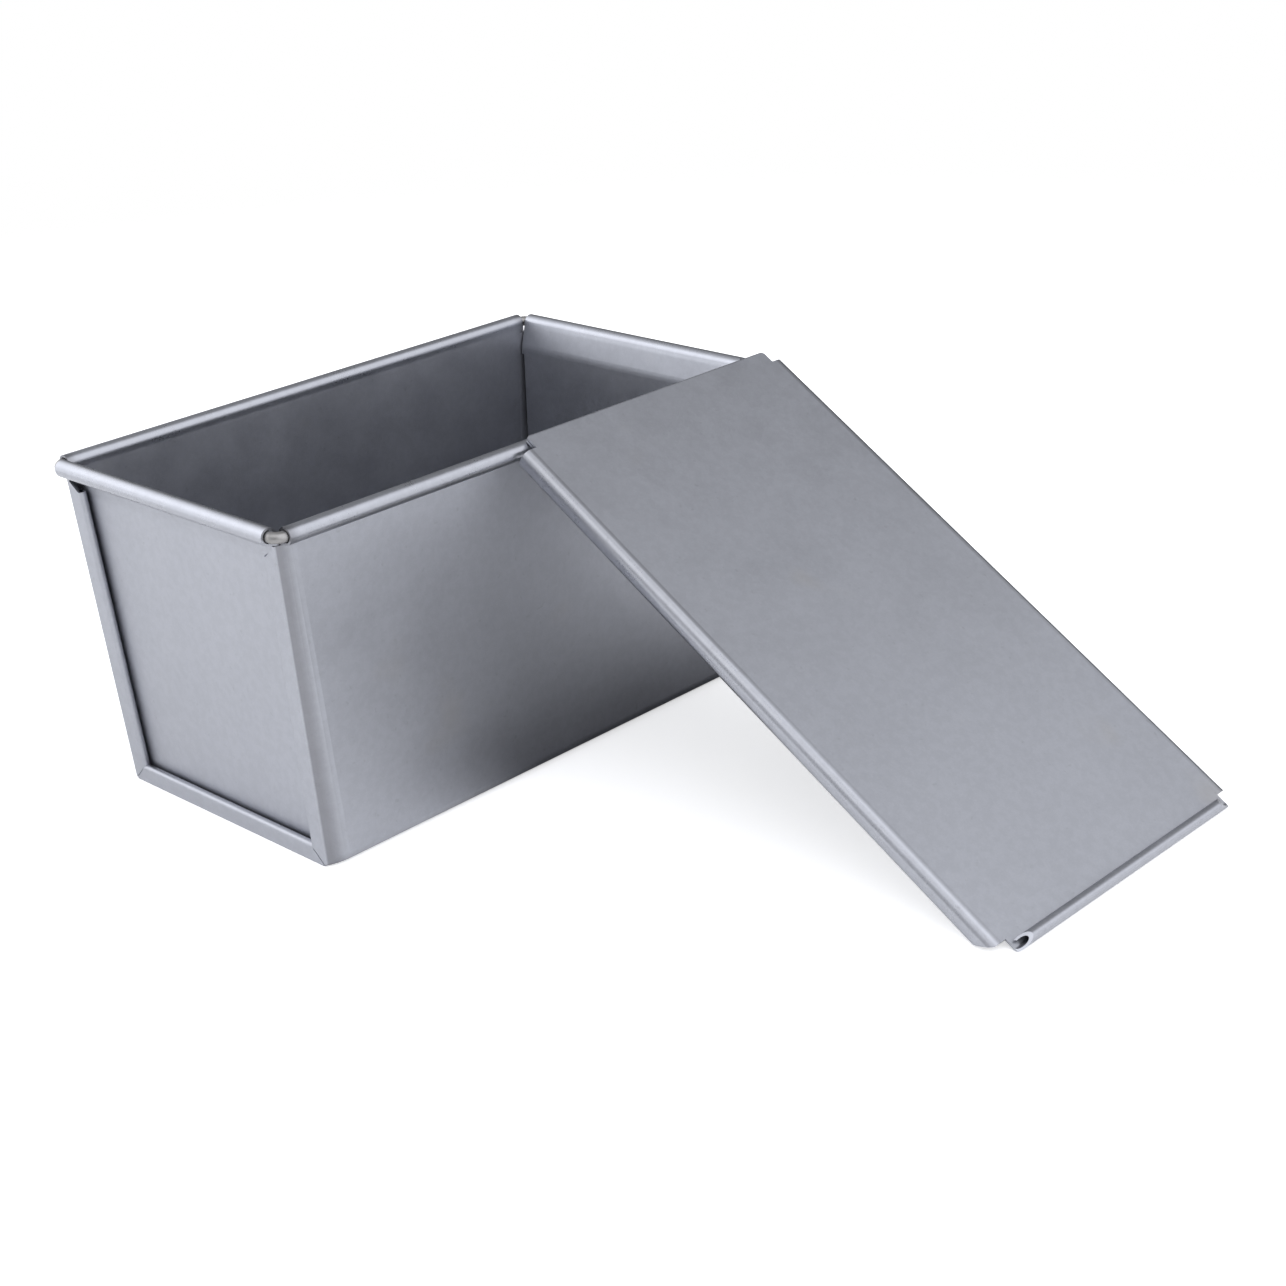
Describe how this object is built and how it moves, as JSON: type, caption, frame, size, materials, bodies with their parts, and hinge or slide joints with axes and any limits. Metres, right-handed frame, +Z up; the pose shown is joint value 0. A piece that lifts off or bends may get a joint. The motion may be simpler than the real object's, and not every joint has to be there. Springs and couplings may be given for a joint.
{
  "type": "pullman loaf pan",
  "caption": "Straight-sided tapered loaf pan of folded sheet with wired rims and hemmed end seams, its flat sliding lid leaning on the rim.",
  "frame": {"origin": "centre of the pan's flat base, on the surface that it stands on", "axes": "+X along the pan's length towards the far end, +Y across it away from the leaning lid, +Z up"},
  "size_m": [0.2133, 0.2989, 0.1136],
  "materials": {
    "aluminised_sheet": "satin aluminised steel",
    "rim_wire": "drawn steel wire"
  },
  "bodies": {
    "pan": {"body_wrap": "aluminised_sheet", "end_panel_near": "aluminised_sheet", "end_panel_far": "aluminised_sheet", "rim_wire": "rim_wire"},
    "lid": {"lid": "aluminised_sheet", "lid_rail_near": "aluminised_sheet", "lid_rail_far": "aluminised_sheet", "lid_lip_near": "aluminised_sheet", "lid_lip_far": "aluminised_sheet"}
  },
  "joints": [
    {"name": "lid_slide", "type": "slide", "parent": "pan", "child": "lid", "axis": [1, 0, 0], "range_m": [-0.093, 0.115]}
  ]
}
